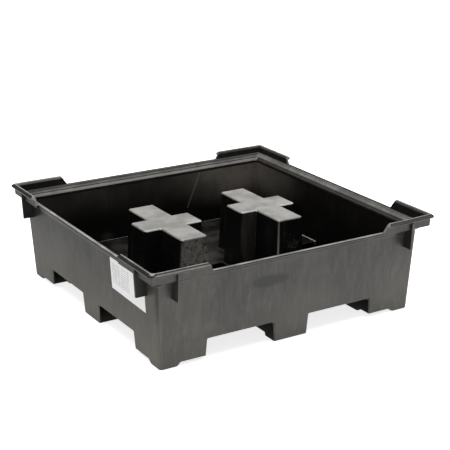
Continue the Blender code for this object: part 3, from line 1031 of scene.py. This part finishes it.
OUTER, INNER, DECK, SIDE = outer_plastic(), inner_plastic(), deck_plastic(), pillar_plastic()
UNDER = under_plastic()
# a darker copy of the outer plastic: painted shade on the ears' outer faces
SHADE = outer_plastic("shaded_plastic", 0.85)
# the matt left side, by the name of the finish that the other sides have
LEFT_VERSION = {
    OUTER.name: outer_plastic("left_plastic", 1.0, 0.05),
    SHADE.name: outer_plastic("shaded_left_plastic", 0.85, 0.05),
}
# TOP is the scuffed pillar tops; the others stand in for light and shade: RIDGE, EDGE and GLINT are painted
# highlights, LEDGE and LIP tones chosen by how the light falls on each side, DARK and DEEP painted shade
TOP = top_plastic("pillar_top_plastic", (0.225, 0.218, 0.203), (0.43, 0.417, 0.390))
RIDGE = top_plastic("ridge_highlight_plastic", (0.17, 0.165, 0.150), (0.42, 0.405, 0.375))
EDGE = top_plastic("edge_highlight_plastic", (0.12, 0.116, 0.105), (0.30, 0.29, 0.265))
LEDGE = top_plastic("ledge_plastic", (0.070, 0.068, 0.061), (0.150, 0.145, 0.131))
LIP = top_plastic("lip_plastic", (0.034, 0.032, 0.029), (0.065, 0.062, 0.056), 0.35)
GLINT = top_plastic("glint_plastic", (0.50, 0.49, 0.46), (0.75, 0.735, 0.70))
DARK = top_plastic("painted_shade_plastic", (0.010, 0.0095, 0.009), (0.022, 0.021, 0.019), 0.2)
DEEP = top_plastic("deep_shade_plastic", (0.004, 0.004, 0.0038), (0.010, 0.0097, 0.009), 0.08)


# the rim's slope, from its top down: a finish above each height, bands of painted highlight and painted
# shade
SLOPE = ((0.3520, LEDGE), (0.3465, EDGE), (0.3436, DARK), (0.0, EDGE))
RIGHT_SLOPE = ((0.3465, RIDGE), (0.3436, EDGE), (0.3408, LIP), (0.0, DARK))
LEDGE_END = 0.5800          # middle of the sump to the outer edge of the ledge
FLARE_TOP = 0.352           # the flare under the rim ends at this height
# an ear's riser, crest and lip, from the middle of the sump
RISER_TOP, CREST_START, CREST_END, LIP_SLOPE_END = 0.6043, 0.6062, 0.6150, 0.6216
LEFT_SKIRT_TOP = 0.375
UPWARD = 0.25               # a face whose normal points up by more than this is seen from above
FLAT = 0.93                 # and one above this is level
PILLAR_ROUND = 0.0065       # depth of the rounded edge round a pillar's top
PILLAR_END = 0.064          # middle of a pillar to where the ends of its arms along X begin
FOOT_ROUND = 0.0065         # height of the painted highlight along the rounded foot of the walls
UNDER_CORNER = 0.50         # the flare's underside gets deep painted shade beyond this, at the corners
INSET_SHOWS = 0.575         # middle of the sump to where the left rim's inset counts


def rim_finish(side, far, z, normal, inward):
    """The rim: a painted highlight along its top on the near sides and painted shade on the far ones, and
    bands of painted highlight and shade along its slope and ledge.
    """
    if z > RIM_TOP - 0.001 and normal.z > FLAT:
        return {"front": RIDGE, "left": RIDGE, "back": LIP, "right": DARK}[side]
    if z < LEDGE_TOP + 0.001 and far < LEDGE_END and normal.z > UPWARD:
        return {"right": DARK, "back": LEDGE}.get(side, EDGE)
    if inward and normal.z > UPWARD:
        bands = RIGHT_SLOPE if side == "right" else SLOPE
        return next(finish for low, finish in bands if z > low)
    return DARK if normal.z > UPWARD else OUTER


def ear_finish(side, corner, far, z, normal, inward):
    """An ear: a painted highlight along its crest and along the outer edge of one lip, painted shade beside
    the crest, under the lip on the left and on its inner faces, and the shaded copy of the outer plastic
    outside; which band goes where changes with the side it faces.
    """
    if normal.z > 0.20 and far < CREST_END:
        if side in ("front", "left"):
            return RIDGE if far > CREST_START else DARK
        if corner == "back_left":
            return RIDGE if far > RISER_TOP else DARK
        return EDGE if far > CREST_START else LEDGE if far > RISER_TOP else DARK
    if normal.z > 0.30 and far < LIP_SLOPE_END:
        return DARK if side in ("front", "left") else LIP
    if side == "left" and z > LEFT_SKIRT_TOP:
        return DARK
    if normal.z > 0.30:
        return EDGE if corner == "front_left" else OUTER
    return DARK if inward else SHADE


def pillar_finish(x, z, normal):
    """A pillar: a scuffed lighter top, painted highlights round its rounded top edges, brightest along the
    front edges of its arms' ends.
    """
    if z < LEDGE_TOP - PILLAR_ROUND or normal.z < 0.15:
        return SIDE
    if normal.z > FLAT:
        return TOP
    end = abs(abs(x) - PILLAR_X) > PILLAR_END or normal.x < -0.2
    return GLINT if end and normal.y < -0.25 else RIDGE


def wall_finish(z, normal, outward):
    """A wall: a painted highlight along its rounded foot, dusty outside, and inside the darker inner
    plastic, painted shade.
    """
    if outward < 0.1 and 0.0005 < z - FLOOR_TOP < FOOT_ROUND and normal.z > 0.2:
        return GLINT
    return OUTER if outward > 0.1 or z < POCKET_TOP + 0.001 else INNER


def finish_of(name, centre, normal):
    """Which of the plastics a face of a moulded piece shows."""
    x, y, z = centre
    far = max(abs(x), abs(y))
    side = side_of(x, y)
    outward = x * normal.x + y * normal.y
    inward = outward < 0
    if "rim" in name:
        # the flare's underside: deep painted shade at the corners
        if normal.z < -0.3 and z < FLARE_TOP:
            return DEEP if min(abs(x), abs(y)) > UNDER_CORNER else OUTER
        inset = LEFT_RIM_INSET if side == "left" and far > INSET_SHOWS else 0.0
        return rim_finish(side, far + inset, z, normal, inward)
    if "ear" in name:
        return ear_finish(side, name.replace("moulded_ear_", ""), far, z, normal, inward)
    if "gusset" in name:
        across = SIDES[side]
        # the fins' side faces get painted shade
        return OUTER if normal.x * across[0] + normal.y * across[1] > 0.5 else DARK
    if "pillar" in name:
        return pillar_finish(x, z, normal)
    if "wall" in name:
        return wall_finish(z, normal, outward)
    if "foot" in name:
        if far > wall_half(z) - SURFACE:
            return OUTER
        return DECK if normal.z > 0.5 else UNDER
    return DECK if z > POCKET_TOP + 0.001 or normal.z > 0.5 else UNDER


def paint(obj):
    """Gives each face its finish, and the piece its slot."""
    finishes = []
    for polygon in obj.data.polygons:
        finish = finish_of(obj.name, polygon.center, polygon.normal)
        if polygon.normal.x < -0.5:
            finish = LEFT_VERSION.get(finish.name, finish)
        if finish not in finishes:
            finishes.append(finish)
            obj.data.materials.append(finish)
        polygon.material_index = finishes.index(finish)


for piece in moulded.values():
    paint(piece)
label.data.materials.append(label_film())


# ---------------------------------------------------------------- stage
def studio():
    """A plain pale floor, which glows a little, under a wide soft light."""
    bm = bmesh.new()
    bmesh.ops.create_grid(bm, x_segments=1, y_segments=1, size=30)
    floor = to_object("studio_floor", bm)
    floor.location.z = -0.0005
    pale = Shader("studio_floor", (0.92, 0.92, 0.92), 0.9, 0.0)
    pale.colour(pale.mix(pale.noise(3, 2), (0.915, 0.915, 0.915), (0.925, 0.925, 0.925)))
    pale.surface.inputs["Emission Color"].default_value = (1, 1, 1, 1)
    pale.surface.inputs["Emission Strength"].default_value = 0.8
    floor.data.materials.append(pale.material)
    world = bpy.data.worlds.new("studio")
    world.use_nodes = True
    background = world.node_tree.nodes["Background"]
    background.inputs["Color"].default_value = (1, 1, 1, 1)
    background.inputs["Strength"].default_value = 0.25
    bpy.context.scene.world = world
    light = bpy.data.lights.new("overhead", "SUN")
    light.energy = 3.3
    light.angle = math.radians(75)
    overhead = bpy.data.objects.new("overhead", light)
    overhead.rotation_euler = (math.radians(-9), math.radians(8), 0)
    bpy.context.scene.collection.objects.link(overhead)
    bpy.context.scene.view_settings.view_transform = "Standard"


CAMERA_PLACE = (-2.408, -4.050, 1.909)
CAMERA_TURN = 31.2545       # degrees clockwise from +Y, seen from above
CAMERA_TILT = 19.0256       # degrees downwards


def camera():
    data = bpy.data.cameras.new("camera")
    data.lens = 98.14
    data.sensor_width = 36
    obj = bpy.data.objects.new("camera", data)
    obj.location = CAMERA_PLACE
    obj.rotation_euler = (math.radians(90 - CAMERA_TILT), 0, math.radians(-CAMERA_TURN))
    bpy.context.scene.collection.objects.link(obj)
    bpy.context.scene.camera = obj


studio()
camera()
